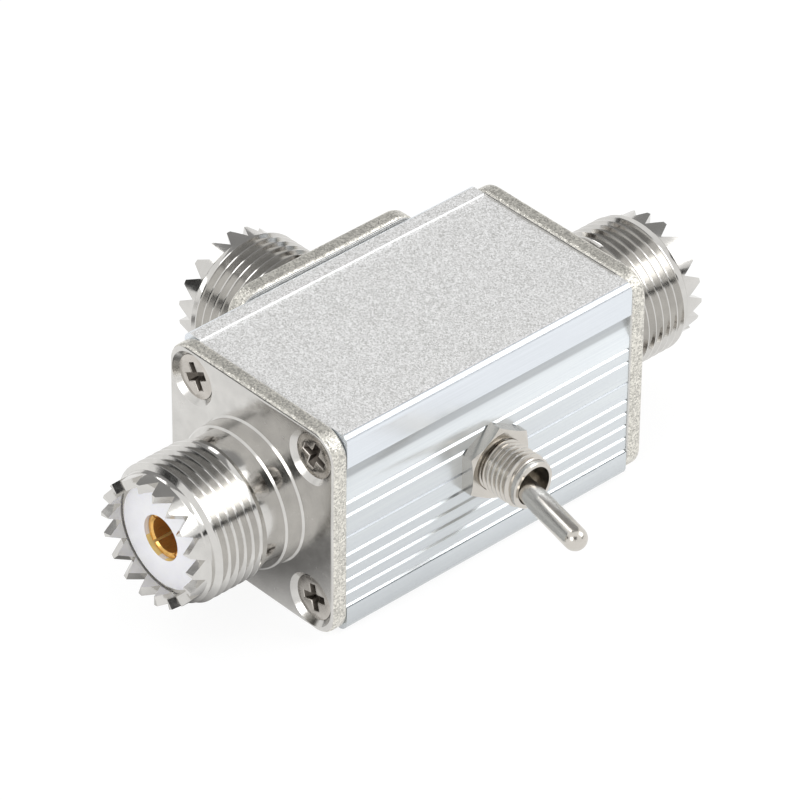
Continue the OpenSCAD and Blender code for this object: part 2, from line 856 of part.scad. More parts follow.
module end_wire(side) {
    start = half_length - cup_reach + cup_depth;
    finish = terminal_pitch + blade_thickness / 2;
    color(tin) at_axis() translate([side * finish, 0, 0]) rotate([0, side * 90, 0])
        cylinder(h = start - finish, r = wire_radius);
}

module wire_left() { end_wire(-1); }
module wire_right() { end_wire(1); }

upper_shell();
lower_shell();
left_socket_shell();
left_insulator();
left_centre_contact();
left_end_screws();
right_socket_shell();
right_insulator();
right_centre_contact();
right_end_screws();
rear_socket_shell();
rear_insulator();
rear_centre_contact();
rear_flange_screws();
toggle_bushing();
toggle_lever();
panel_nut();
lock_washer();
locating_washer();
toggle_frame();
switch_case();
terminal_base();
rocker_contact();
lever_plunger();
plunger_spring();
terminal_common();
terminal_left();
terminal_right();
wire_common();
wire_left();
wire_right();
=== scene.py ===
"""Looks of the coaxial antenna switch: threads, screws, finishes, light and camera."""

import math

import bmesh
import bpy
from bpy.props import FloatProperty, FloatVectorProperty, IntProperty, PointerProperty
from mathutils import Matrix, Vector


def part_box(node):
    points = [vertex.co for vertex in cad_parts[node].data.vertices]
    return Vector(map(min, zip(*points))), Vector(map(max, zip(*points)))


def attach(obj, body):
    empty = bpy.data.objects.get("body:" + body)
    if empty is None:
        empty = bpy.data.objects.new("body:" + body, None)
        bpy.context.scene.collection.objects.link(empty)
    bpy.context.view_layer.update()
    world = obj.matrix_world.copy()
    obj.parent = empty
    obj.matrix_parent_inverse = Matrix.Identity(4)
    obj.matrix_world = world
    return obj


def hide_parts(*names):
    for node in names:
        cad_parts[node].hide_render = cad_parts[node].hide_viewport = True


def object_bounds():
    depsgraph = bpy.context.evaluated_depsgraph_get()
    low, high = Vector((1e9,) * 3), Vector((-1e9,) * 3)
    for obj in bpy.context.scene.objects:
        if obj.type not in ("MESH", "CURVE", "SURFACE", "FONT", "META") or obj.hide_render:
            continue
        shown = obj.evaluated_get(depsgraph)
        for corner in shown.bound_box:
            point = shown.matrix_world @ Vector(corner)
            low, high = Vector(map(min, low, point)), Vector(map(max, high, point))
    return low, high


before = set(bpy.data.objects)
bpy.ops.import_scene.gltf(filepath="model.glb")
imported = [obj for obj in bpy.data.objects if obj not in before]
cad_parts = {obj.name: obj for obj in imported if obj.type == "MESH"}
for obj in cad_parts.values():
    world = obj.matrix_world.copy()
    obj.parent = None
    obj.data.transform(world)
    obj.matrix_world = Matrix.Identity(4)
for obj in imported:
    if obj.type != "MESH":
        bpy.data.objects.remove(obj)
loaded_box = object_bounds()

bl_info = {
    "name": "Coaxial antenna switch",
    "version": (1, 0, 0),
    "blender": (4, 5, 0),
    "location": "3D View > Sidebar > Antenna switch",
    "description": "Builds the threads, screws, finishes and light of a coaxial antenna switch",
    "category": "Object",
}

MM = 0.001
SIDES = ("left", "right", "rear")

# Start of every material's name, which keeps it apart from the materials of the frame
FINISH = "finish_"

# Distance at which two places count as one, and a small margin round a size
TOUCH = 0.01 * MM
NEAR = 0.05 * MM

# Depth of a thread and the places of its profile's points, as shares of its pitch; each point
# says whether it lies at the crest or at the root
THREAD_DEPTH_SHARE = 0.6134
THREAD_PROFILE_SHARES = ((0.0, False), (0.167, False), (0.521, True), (0.646, True))
# Depth to which a solid is turned down under its new thread, as a share of the pitch
BARREL_CORE_SHARE = 0.72
BUSHING_CORE_SHARE = 0.7
# Part of a notch's slope that keeps the ribbed colour, from its lower edge; the rest is given painted shade
BRIGHT_SLOPE_SHARE = 0.45
# Width of the cross recess at its floor, as a share of its width at the head
RECESS_FLOOR_SHARE = 0.45

# Painted light and shade on the ribbed side, as levels that multiply its colour: (millimetres above the
# foot, the lip or the joint, level); darker towards the foot, a painted highlight on the lip and painted
# shade under the joint
FOOT_LEVELS = ((0.0, 0.66), (3.2, 0.83), (3.7, 0.82), (9.8, 0.82), (10.4, 0.88))
LIP_LEVELS = ((-0.1, 0.86), (0.1, 1.0), (1.2, 1.0))
JOINT_LEVELS = ((-0.6, 0.98), (-0.2, 0.92), (0.0, 0.62))
# The same painted light at its left and right end, lighter towards the right
END_LEVELS = (0.86, 0.97)
# Painted light on the ribbed side and painted shade on the inner part of its notches, as factors on the
# anodised colour
RIB_PAINTED_LIGHT = 1.14
NOTCH_PAINTED_SHADE = 0.72
# Strength of the glow of the machined rail edges, a painted highlight
EDGE_PAINTED_HIGHLIGHT = 0.35
WHITE = (1.0, 1.0, 1.0, 1.0)

# Part of a face's normal along an axis: a level face, the flat of a flange, the slope of a notch
LEVEL_FACE = 0.95
FLANGE_FACE = 0.8
SLOPE_UP = (0.5, 0.9)
SLOPE_OUT = 0.4

# Distances and the angle for merging corners, cutting a mesh and joining flat faces
MERGE = 0.0005 * MM
CUT = 0.0001 * MM
FLAT_ANGLE = 0.002
# Turns of thread that are made beyond its ends and then cut off, in all and before its start
SPARE_TURNS = 2
LEAD_TURNS = 1.5

# Lamps, as (name, place, side, share of the key power), and cards, as (name, place, sides, level),
# in metres
LAMPS = (
    ("key", (0.77, -0.67, 0.96), 0.75, 1.0),
    ("back", (-0.09, 0.47, 0.64), 0.26, 0.13),
    ("left", (-1.0, -0.25, 0.55), 0.5, 0.5),
)
CARDS = (
    ("front_card", (0.42, -0.60, 0.24), (0.40, 0.10), 0.02),
    ("left_card", (-0.47, 0.366, 0.171), (0.36, 0.20), 0.02),
    ("camera_card", (-0.40, -0.43, 0.45), (0.36, 0.36), 0.03),
    ("back_card", (0.27, 0.56, 0.65), (1.2, 1.3), 0.3),
)
# The dark patch of painted shade under the left socket, seen only in mirrors, in metres
SHADE_PLACE = (-0.030, 0.004, 0.0)
SHADE_RADII = (0.014, 0.016)

# The floor: its reach each way, its drop under the switch, its grey, and the glow it is seen by
FLOOR_REACH = 4.0
FLOOR_DROP = 0.05 * MM
FLOOR_GREY = 0.86
FLOOR_GLOW = 1.1
FLOOR_GLOW_SHARE = 0.8

# The camera's sensor in millimetres, and the distances between which it sees, in metres
SENSOR_WIDTH = 36.0
CLIP_START = 0.05
CLIP_END = 30.0


def colour_property(name, description, default):
    """A colour that can be set in the panel."""
    return FloatVectorProperty(name=name, description=description, default=default,
                               subtype="COLOR", size=3, min=0.0, max=1.0)


def length_property(name, description, millimetres):
    """A length that can be set in the panel, given here in millimetres."""
    return FloatProperty(name=name, description=description, default=millimetres * MM,
                         subtype="DISTANCE", unit="LENGTH", precision=5, min=0.0)


class SwitchFinish(bpy.types.PropertyGroup):
    """Colours of the finishes."""
    blasted: colour_property("Blasted top", "Colour of the bead blasted top", (0.80, 0.797, 0.775))
    anodised: colour_property("Anodised sides", "Colour of the ribbed sides", (0.80, 0.84, 0.885))
    # The rail edges also glow a little, as a painted highlight
    edge: colour_property("Rail edge", "Colour of the machined rail edges", (0.95, 0.96, 0.97))
    nickel: colour_property("Nickel", "Colour of the bright nickel plate", (0.66, 0.647, 0.622))
    toggle: colour_property("Toggle", "Colour of the plate on the toggle", (0.62, 0.59, 0.545))
    sheared: colour_property("Sheared edge", "Colour of the rough flange edges", (0.71, 0.69, 0.63))
    screw: colour_property("Screws", "Colour of the plated screws", (0.62, 0.585, 0.54))
    insulator: colour_property("Insulator", "Colour of the white insulators", (0.95, 0.95, 1.0))
    # The glow colour is a painted reflection of the gold contacts on the insulator round them
    glow: colour_property("Glow", "Colour of the insulator where it mirrors the gold", (1.0, 0.80, 0.36))
    # The recess colour is painted shade inside the cross recess
    recess: colour_property("Recess", "Colour inside the cross recess", (0.13, 0.115, 0.10))
    gold: colour_property("Gold", "Colour of the centre contacts", (0.88, 0.52, 0.16))
    steel: colour_property("Steel", "Colour of the sheet steel and tinned wire inside", (0.45, 0.43, 0.40))
    case: colour_property("Switch case", "Colour of the switch case", (0.03, 0.09, 0.28))
    nylon: colour_property("Plunger", "Colour of the nylon plunger", (0.80, 0.77, 0.66))
    silver: colour_property("Terminals", "Colour of the silver plated terminals", (0.72, 0.70, 0.66))


class SwitchDetail(bpy.types.PropertyGroup):
    """Sizes of the details that the solids leave out, and of the solids that carry them."""
    barrel_pitch: length_property("Barrel pitch", "Pitch of the socket thread", 1.0583)
    barrel_crest: length_property("Barrel crest", "Crest radius of the socket thread", 7.94)
    barrel_start: length_property("Thread start", "Start of the thread, above the flange's back", 6.6)
    barrel_end: length_property("Thread end", "End of the thread, above the flange's back", 14.0)
    barrel_lead: length_property("Thread depth at its start", "Depth at which the thread fades in", 0.62)
    crown: length_property("Crown radius", "Outer radius of the toothed crown", 7.15)
    flange: length_property("Flange thickness", "Thickness of the square flanges", 2.0)
    flange_corner: length_property("Flange corner", "Radius of the flange corners", 3.0)
    flange_arris: length_property("Flange arris", "Radius of the rolled arrises", 0.5)
    flute: length_property("Flute height", "Height of the flute under the joint of the shells", 3.0)
    rail_depth: length_property("Rail depth", "Height of the top rails' inner walls, at most", 0.3)
    rail_edge: length_property("Rail edge", "Distance of those walls from the sides, at least", 1.5)
    notch: length_property("Notch height", "Least height of a notch that gets a bright strip", 0.25)
    bushing_pitch: length_property("Bushing pitch", "Pitch of the bushing thread", 0.65)
    bushing_rim: length_property("Bushing rim", "Length of the plain end of the bushing", 0.7)
    bushing_thread: length_property("Bushing thread", "Length of thread behind that end", 5.5)
    screw_pitch: length_property("Screw spacing", "Distance between two screws of a flange", 18.2)
    screw_rim: length_property("Screw rim", "Width of the soft rim of a screw head", 0.1)
    recess_depth: length_property("Recess depth", "Depth of the cross recess", 0.7)
    recess_reach: length_property("Recess reach", "Reach of the recess from the screw's middle", 1.65)
    # Margin of the painted gold reflection round a contact
    reflection_margin: length_property("Glow margin", "Play round a contact in its insulator", 0.1)
    grain: length_property("Blasting grain", "Size of the blasted grains", 0.14)
    segments: IntProperty(name="Segments", description="Segments round a turned piece",
                          default=96, min=24, max=256)


class SwitchStudio(bpy.types.PropertyGroup):
    """Camera and light."""
    lens: FloatProperty(name="Lens", description="Focal length of the camera in millimetres",
                        default=266.8, min=50.0, max=600.0)
    place: FloatVectorProperty(name="Camera", description="Place of the camera", subtype="TRANSLATION",
                               size=3, default=(-0.34007, -0.36578, 0.38163))
    right: FloatVectorProperty(name="Picture right", description="Direction of the picture's right side",
                               size=3, default=(0.73734, -0.67548, 0.00744))
    back: FloatVectorProperty(name="Camera back", description="Direction from the switch to the camera",
                              size=3, default=(-0.5469, -0.5904, 0.5936))
    ambient: FloatProperty(name="Ambient", description="Level of the even light all round",
                           default=0.70, min=0.0, max=2.0)
    key: FloatProperty(name="Key", description="Power of the large lamp", default=4.5, min=0.0, max=50.0)


def settings():
    """The colours, the details and the studio of this scene."""
    scene = bpy.context.scene
    return scene.switch_finish, scene.switch_detail, scene.switch_studio


# Materials

def new_material(name, colour, metallic, roughness):
    """A principled material and its node tree."""
    material = bpy.data.materials.new(FINISH + name)
    material.use_nodes = True
    shader = material.node_tree.nodes["Principled BSDF"]
    shader.inputs["Base Color"].default_value = (*colour, 1.0)
    shader.inputs["Metallic"].default_value = metallic
    shader.inputs["Roughness"].default_value = roughness
    return material, material.node_tree, shader


def place_coordinates(tree, stretch=(1.0, 1.0, 1.0)):
    """Object coordinates in metres, with a stretch for brushed or drawn marks."""
    source = tree.nodes.new("ShaderNodeTexCoord")
    mapping = tree.nodes.new("ShaderNodeMapping")
    mapping.inputs["Scale"].default_value = stretch
    tree.links.new(source.outputs["Object"], mapping.inputs["Vector"])
    return mapping.outputs["Vector"]


def noise(tree, vector, lump, detail=2.0):
    """Noise whose lumps are about the given size, in metres."""
    node = tree.nodes.new("ShaderNodeTexNoise")
    node.inputs["Scale"].default_value = 1.0 / lump
    node.inputs["Detail"].default_value = detail
    tree.links.new(vector, node.inputs["Vector"])
    return node.outputs["Fac"]


def cells(tree, vector, size):
    """Small cells of random colour, for grains."""
    node = tree.nodes.new("ShaderNodeTexVoronoi")
    node.inputs["Scale"].default_value = 1.0 / size
    tree.links.new(vector, node.inputs["Vector"])
    return node


def ramp(tree, value, stops):
    """A colour ramp from a list of (position, colour), where a new ramp already has two points."""
    node = tree.nodes.new("ShaderNodeValToRGB")
    points = node.color_ramp.elements
    for i, (position, colour) in enumerate(stops):
        point = points[i] if i < 2 else points.new(position)
        point.position = position
        point.color = (*colour, 1.0)
    tree.links.new(value, node.inputs["Fac"])
    return node.outputs["Color"]


def bump(tree, shader, height, strength, depth):
    """Adds relief to a shader, over any that it has."""
    node = tree.nodes.new("ShaderNodeBump")
    node.inputs["Strength"].default_value = strength
    node.inputs["Distance"].default_value = depth
    tree.links.new(height, node.inputs["Height"])
    previous = shader.inputs["Normal"].links
    if previous:
        tree.links.new(previous[0].from_socket, node.inputs["Normal"])
    tree.links.new(node.outputs["Normal"], shader.inputs["Normal"])


def shade(colour, factor):
    """A colour made darker or lighter."""
    return tuple(min(1.0, c * factor) for c in colour)


def blasted_aluminium(colour, grain):
    """Bead blasted and clear anodised: matt, with single grains that sparkle."""
    material, tree, shader = new_material("blasted_aluminium", colour, metallic=0.2, roughness=0.42)
    place = place_coordinates(tree)
    grains = cells(tree, place, grain)
    tint = ramp(tree, grains.outputs["Color"], [
        (0.1, shade(colour, 0.66)), (0.9, shade(colour, 1.34))])
    tree.links.new(tint, shader.inputs["Base Color"])
    polish = ramp(tree, grains.outputs["Color"], [(0.08, (0.3,) * 3), (0.2, (0.5,) * 3)])
    tree.links.new(polish, shader.inputs["Roughness"])
    bump(tree, shader, grains.outputs["Distance"], strength=0.35, depth=0.04 * MM)
    bump(tree, shader, noise(tree, place, lump=0.5 * MM, detail=4.0), strength=0.3, depth=0.02 * MM)
    return material


def shade_along(tree, tint, axis, levels):
    """Paints light and shade onto a tint: multiplies it by a level that changes along an axis, from (place,
    level) pairs in order.
    """
    split = tree.nodes.new("ShaderNodeSeparateXYZ")
    tree.links.new(place_coordinates(tree), split.inputs[0])
    share = tree.nodes.new("ShaderNodeMapRange")
    low, high = levels[0][0], levels[-1][0]
    share.inputs["From Min"].default_value = low
    share.inputs["From Max"].default_value = high
    tree.links.new(split.outputs[axis], share.inputs["Value"])
    stops = [((place - low) / (high - low), (level,) * 3) for place, level in levels]
    grey = ramp(tree, share.outputs["Result"], [stops[0], stops[-1]] + stops[1:-1])
    product = tree.nodes.new("ShaderNodeVectorMath")
    product.operation = "MULTIPLY"
    tree.links.new(tint, product.inputs[0])
    tree.links.new(grey, product.inputs[1])
    return product.outputs["Vector"]


def anodised_aluminium(name, colour, levels=()):
    """Extruded and anodised: satin, with faint draw lines along the box, and with painted light and shade
    from any levels given.
    """
    material, tree, shader = new_material(name, colour, metallic=0.7, roughness=0.24)
    drawn = noise(tree, place_coordinates(tree, (0.01, 1.0, 1.0)), lump=0.1 * MM, detail=3.0)
    tint = ramp(tree, drawn, [(0.3, shade(colour, 0.93)), (0.7, shade(colour, 1.03))])
    for axis, pairs in levels:
        tint = shade_along(tree, tint, axis, pairs)
    tree.links.new(tint, shader.inputs["Base Color"])
    bump(tree, shader, drawn, strength=0.12, depth=0.01 * MM)
    bump(tree, shader, noise(tree, place_coordinates(tree), lump=0.12 * MM), strength=0.1, depth=0.01 * MM)
    return material


def bright_nickel(name, colour, roughness, wear=0.25):
    """Bright nickel plate over turned brass, with faint stains and fine marks."""
    material, tree, shader = new_material(name, colour, metallic=1.0, roughness=roughness)
    place = place_coordinates(tree)
    stain = noise(tree, place, lump=2.5 * MM, detail=5.0)
    tint = ramp(tree, stain, [(0.3, shade(colour, 1.0 - wear * 0.4)), (0.75, shade(colour, 1.04))])
    tree.links.new(tint, shader.inputs["Base Color"])
    polish = ramp(tree, noise(tree, place, lump=0.8 * MM, detail=4.0),
                  [(0.3, (roughness * (1 - wear),) * 3), (0.8, (roughness * (1 + 2 * wear),) * 3)])
    tree.links.new(polish, shader.inputs["Roughness"])
    bump(tree, shader, noise(tree, place, lump=0.15 * MM, detail=2.0), strength=0.08, depth=0.01 * MM)
    return material


def sheared_nickel(colour):
    """The torn, grainy edge of a stamped flange under its plate."""
    material, tree, shader = new_material("sheared_nickel", colour, metallic=0.7, roughness=0.3)
    place = place_coordinates(tree)
    grains = cells(tree, place, size=0.17 * MM)
    tint = ramp(tree, grains.outputs["Color"], [(0.1, shade(colour, 0.6)), (0.9, shade(colour, 1.35))])
    tree.links.new(tint, shader.inputs["Base Color"])
    bump(tree, shader, grains.outputs["Distance"], strength=0.55, depth=0.07 * MM)
    bump(tree, shader, noise(tree, place, lump=0.5 * MM, detail=5.0), strength=0.4, depth=0.05 * MM)
    return material


def white_insulator(name, colour):
    """White moulded insulator that lets a little light in."""
    material, tree, shader = new_material(name, colour, metallic=0.0, roughness=0.32)
    shader.inputs["Subsurface Weight"].default_value = 0.15
    shader.inputs["Subsurface Radius"].default_value = (0.6 * MM, 0.6 * MM, 0.8 * MM)
    mottle = noise(tree, place_coordinates(tree), lump=1.5 * MM, detail=3.0)
    tint = ramp(tree, mottle, [(0.3, shade(colour, 0.96)), (0.7, shade(colour, 1.02))])
    tree.links.new(tint, shader.inputs["Base Color"])
    bump(tree, shader, mottle, strength=0.05, depth=0.05 * MM)
    return material


def painted_edge_highlight(name, colour):
    """A machined edge with a painted highlight: it glows a little, brighter than the blasted metal round
    it.
    """
    material, tree, shader = new_material(name, colour, metallic=0.0, roughness=0.3)
    shader.inputs["Emission Color"].default_value = WHITE
    shader.inputs["Emission Strength"].default_value = EDGE_PAINTED_HIGHLIGHT
    marks = noise(tree, place_coordinates(tree), lump=0.2 * MM, detail=3.0)
    bump(tree, shader, marks, strength=0.05, depth=0.01 * MM)
    return material


def gold_plate(colour):
    """Gold plate on a sprung contact."""
    material, tree, shader = new_material("gold_contact", colour, metallic=0.75, roughness=0.22)
    tone = noise(tree, place_coordinates(tree), lump=0.9 * MM, detail=3.0)
    tint = ramp(tree, tone, [(0.3, shade(colour, 0.85)), (0.7, shade(colour, 1.05))])
    tree.links.new(tint, shader.inputs["Base Color"])
    bump(tree, shader, noise(tree, place_coordinates(tree), lump=0.12 * MM), strength=0.1, depth=0.01 * MM)
    return material


def plain_metal(name, colour, roughness):
    """Rolled or drawn metal without a bright plate."""
    material, tree, shader = new_material(name, colour, metallic=1.0, roughness=roughness)
    rolled = noise(tree, place_coordinates(tree, (1.0, 1.0, 0.08)), lump=0.15 * MM, detail=3.0)
    tint = ramp(tree, rolled, [(0.3, shade(colour, 0.88)), (0.7, shade(colour, 1.06))])
    tree.links.new(tint, shader.inputs["Base Color"])
    bump(tree, shader, rolled, strength=0.15, depth=0.01 * MM)
    return material


def moulded_plastic(name, colour, roughness):
    """Plastic with the fine grain of its mould."""
    material, tree, shader = new_material(name, colour, metallic=0.0, roughness=roughness)
    texture = noise(tree, place_coordinates(tree), lump=0.2 * MM, detail=3.0)
    tint = ramp(tree, texture, [(0.3, shade(colour, 0.9)), (0.7, shade(colour, 1.08))])
    tree.links.new(tint, shader.inputs["Base Color"])
    bump(tree, shader, texture, strength=0.2, depth=0.02 * MM)
    return material


def rib_painted_light():
    """Painted light and shade over the ribbed side, from end to end and from its foot to the joint."""
    _, detail, _ = settings()
    low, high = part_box("lower_shell")
    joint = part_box("upper_shell")[0].z
    groups = ((low.z, FOOT_LEVELS), (joint - detail.flute, LIP_LEVELS), (joint, JOINT_LEVELS))
    rising = [(start + height * MM, level) for start, levels in groups for height, level in levels]
    return ("X", list(zip((low.x, high.x), END_LEVELS))), ("Z", rising)


def finish_named(name):
    """The finish of that name, made when it is first asked for."""
    if FINISH + name in bpy.data.materials:
        return bpy.data.materials[FINISH + name]
    finish, detail, _ = settings()
    makers = {
        "blasted_aluminium": lambda: blasted_aluminium(finish.blasted[:], detail.grain),
        "smooth_anodised": lambda: anodised_aluminium("smooth_anodised", finish.anodised[:]),
        # The ribbed side: anodised colour times painted light and shade levels
        "ribbed_anodised_painted_light": lambda: anodised_aluminium(
            "ribbed_anodised_painted_light", shade(finish.anodised[:], RIB_PAINTED_LIGHT), rib_painted_light()),
        # The inner walls of the top rails glow a little, as a painted highlight
        "edge_painted_highlight": lambda: painted_edge_highlight("edge_painted_highlight", finish.edge[:]),
        # The inner part of each notch gets a darker copy of the anodised finish, as painted shade
        "notch_painted_shade": lambda: plain_metal(
            "notch_painted_shade", shade(finish.anodised[:], NOTCH_PAINTED_SHADE), roughness=0.5),
        "turned_nickel": lambda: bright_nickel("turned_nickel", finish.nickel[:], roughness=0.13),
        "flange_nickel": lambda: bright_nickel("flange_nickel", finish.nickel[:], roughness=0.2),
        "toggle_nickel": lambda: bright_nickel("toggle_nickel", finish.toggle[:], roughness=0.22, wear=0.1),
        "sheared_nickel": lambda: sheared_nickel(finish.sheared[:]),
        "screw_nickel": lambda: bright_nickel("screw_nickel", finish.screw[:], roughness=0.2, wear=0.6),
        "white_insulator": lambda: white_insulator("white_insulator", finish.insulator[:]),
        # Insulator faces round the contact carry a painted reflection of the gold
        "insulator_painted_reflection": lambda: white_insulator("insulator_painted_reflection", finish.glow[:]),
        # Painted shade inside the cross recess
        "screw_recess_painted_shade": lambda: bright_nickel("screw_recess_painted_shade", finish.recess[:], roughness=0.35, wear=0.6),
        "gold_contact": lambda: gold_plate(finish.gold[:]),
        "plain_steel": lambda: plain_metal("plain_steel", finish.steel[:], roughness=0.34),
        "silvered_copper": lambda: plain_metal("silvered_copper", finish.silver[:], roughness=0.28),
        "tinned_wire": lambda: plain_metal("tinned_wire", finish.steel[:], roughness=0.4),
        "moulded_plastic": lambda: moulded_plastic("moulded_plastic", finish.case[:], roughness=0.45),
        "nylon": lambda: moulded_plastic("nylon", finish.nylon[:], roughness=0.4),
    }
    return makers[name]()


def dress_node(node, material_name):
    """Gives a node of the frame its finish."""
    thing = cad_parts[node]
    material = finish_named(material_name)
    if not thing.material_slots:
        thing.data.materials.append(material)
    for place in thing.material_slots:
        place.material = material


# Shapes

def node_shape(node):
    """A merged copy of a node's mesh, ready to be cut and shaped."""
    shape = bmesh.new()
    shape.from_mesh(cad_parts[node].data)
    bmesh.ops.remove_doubles(shape, verts=shape.verts, dist=MERGE)
    bmesh.ops.dissolve_limit(shape, angle_limit=FLAT_ANGLE, verts=shape.verts, edges=shape.edges)
    return shape


def add_piece(name, shape, materials, body, nodes, sharp=35.0):
    """Turns a finished shape into a piece that rides on a body and stands for its nodes."""
    bmesh.ops.recalc_face_normals(shape, faces=shape.faces)
    for face in shape.faces:
        face.smooth = True
    for edge in shape.edges:
        if len(edge.link_faces) == 2:
            edge.smooth = edge.calc_face_angle() < math.radians(sharp)
        else:
            edge.smooth = False
    mesh = bpy.data.meshes.new(name)
    shape.to_mesh(mesh)
    shape.free()
    for material in materials:
        mesh.materials.append(finish_named(material))
    piece = bpy.data.objects.new(name, mesh)
    bpy.context.scene.collection.objects.link(piece)
    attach(piece, body)
    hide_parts(*nodes)


def in_order(things):
    """Each thing once, in the order found, so that every run gives the same mesh."""
    return list(dict.fromkeys(things))


def radius_of(vertex):
    """Distance of a corner from the z axis."""
    return math.hypot(vertex.co.x, vertex.co.y)


def set_radius(vertex, radius):
    """Moves a corner to another distance from the z axis."""
    now = radius_of(vertex)
    vertex.co.x *= radius / now
    vertex.co.y *= radius / now


def thread_sleeve(shape, pitch, crest, low, high, limit, segments):
    """Adds a right-hand thread round z between two heights, trimmed to the radius limit(z)."""
    root = crest - THREAD_DEPTH_SHARE * pitch
    before = set(shape.verts)
    turns = math.ceil((high - low) / pitch) + SPARE_TURNS
    points = [(low + (turn - LEAD_TURNS + share) * pitch, crest if at_crest else root)
              for turn in range(turns) for share, at_crest in THREAD_PROFILE_SHARES]
    rows = []
    for step in range(segments):
        turned = 2 * math.pi * step / segments
        rise = pitch * step / segments
        rows.append([shape.verts.new((radius * math.cos(turned), radius * math.sin(turned), z + rise))
                     for z, radius in points])
    # After a full turn the profile stands one pitch higher, on the points of its next turn
    rows.append(rows[0][len(THREAD_PROFILE_SHARES):])
    for this, following in zip(rows, rows[1:]):
        for i in range(len(following) - 1):
            shape.faces.new((this[i], following[i], following[i + 1], this[i + 1]))
    for height, outer in ((low, False), (high, True)):
        made = [v for v in shape.verts if v not in before]
        rims = in_order(e for v in made for e in v.link_edges)
        faces = in_order(f for v in made for f in v.link_faces)
        bmesh.ops.bisect_plane(shape, geom=made + rims + faces, dist=CUT,
                               plane_co=(0, 0, height), plane_no=(0, 0, 1),
                               clear_outer=outer, clear_inner=not outer)
    for vertex in shape.verts:
        if vertex not in before and radius_of(vertex) > limit(vertex.co.z):
            set_radius(vertex, limit(vertex.co.z))


def socket_place(side):
    """Where a socket stands: its axis on z, from the back of the flange outwards."""
    low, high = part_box(side + "_socket_shell")
    middle = (low + high) / 2
    if side == "left":
        return Matrix.Translation((high.x, middle.y, middle.z)) @ Matrix.Rotation(-math.pi / 2, 4, "Y")
    if side == "right":
        return Matrix.Translation((low.x, middle.y, middle.z)) @ Matrix.Rotation(math.pi / 2, 4, "Y")
    return Matrix.Translation((middle.x, low.y, middle.z)) @ Matrix.Rotation(-math.pi / 2, 4, "X")


def toggle_place():
    """Where the toggle stands: its axis on z, out of the box, from the rim of the bushing back."""
    low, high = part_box("toggle_bushing")
    middle = (low + high) / 2
    return Matrix.Translation((middle.x, low.y, middle.z)) @ Matrix.Rotation(math.pi / 2, 4, "X")


def transform(shape, matrix):
    """Moves a whole shape."""
    bmesh.ops.transform(shape, matrix=matrix, verts=shape.verts)


class SWITCH_OT_camera(bpy.types.Operator):
    """Places the camera as the photograph was taken"""
    bl_idname = "switch.camera"
    bl_label = "Camera"

    def execute(self, context):
        _, _, studio = settings()
        data = bpy.data.cameras.new("camera")
        data.lens = studio.lens
        data.sensor_width = SENSOR_WIDTH
        data.clip_start = CLIP_START
        data.clip_end = CLIP_END
        camera = bpy.data.objects.new("camera", data)
        right = Vector(studio.right).normalized()
        back = Vector(studio.back)
        back = (back - right * back.dot(right)).normalized()
        up = back.cross(right)
        turn = Matrix((right, up, back)).transposed()
        camera.matrix_world = Matrix.Translation(studio.place) @ turn.to_4x4()
        context.scene.collection.objects.link(camera)
        context.scene.camera = camera
        return {"FINISHED"}


class SWITCH_OT_shells(bpy.types.Operator):
    """Gives the two extruded shells their finish"""
    bl_idname = "switch.shells"
    bl_label = "Shells"

    def execute(self, context):
        _, detail, _ = settings()
        shape = node_shape("lower_shell")
        self.split_notches(shape, detail)
        add_piece("lower_shell_dressed", shape, ["ribbed_anodised_painted_light", "notch_painted_shade"],
                  "root", ["lower_shell"])
        shape = node_shape("upper_shell")
        top = max(v.co.z for v in shape.verts)
        side = max(v.co.y for v in shape.verts)
        # Level faces get the blasted finish, the inner walls of the top rails a glowing painted highlight,
        # the other faces the smooth anodised finish
        for face in shape.faces:
            middle = face.calc_center_median()
            if face.normal.z > LEVEL_FACE:
                face.material_index = 0
            elif middle.z > top - detail.rail_depth and abs(middle.y) < side - detail.rail_edge:
                face.material_index = 2
            else:
                face.material_index = 1
        add_piece("upper_shell_dressed", shape, ["blasted_aluminium", "smooth_anodised", "edge_painted_highlight"],
                  "root", ["upper_shell"])
        return {"FINISHED"}

    def split_notches(self, shape, detail):
        """Parts each notch's slope into a bright outer strip and an inner one with painted shade; notches
        lower than the notch height keep painted shade all over.
        """
        slopes = [f for f in shape.faces
                  if SLOPE_UP[0] < f.normal.z < SLOPE_UP[1] and abs(f.normal.y) > SLOPE_OUT]
        # Each slope starts with the painted shade
        for slope in slopes:
            slope.material_index = 1
        spans = {(round(min(v.co.z for v in f.verts), 6), round(max(v.co.z for v in f.verts), 6))
                 for f in slopes}
        for low, high in sorted(spans):
            if high - low < detail.notch:
                continue
            height = low + BRIGHT_SLOPE_SHARE * (high - low)
            faces = [f for f in shape.faces if f.material_index == 1
                     and low - TOUCH < f.calc_center_median().z < high + TOUCH]
            rims = in_order(e for f in faces for e in f.edges)
            corners = in_order(v for f in faces for v in f.verts)
            bmesh.ops.bisect_plane(shape, geom=faces + rims + corners, dist=CUT,
                                   plane_co=(0, 0, height), plane_no=(0, 0, 1))
            for face in shape.faces:
                if face.material_index == 1 and low < face.calc_center_median().z < height:
                    face.material_index = 0


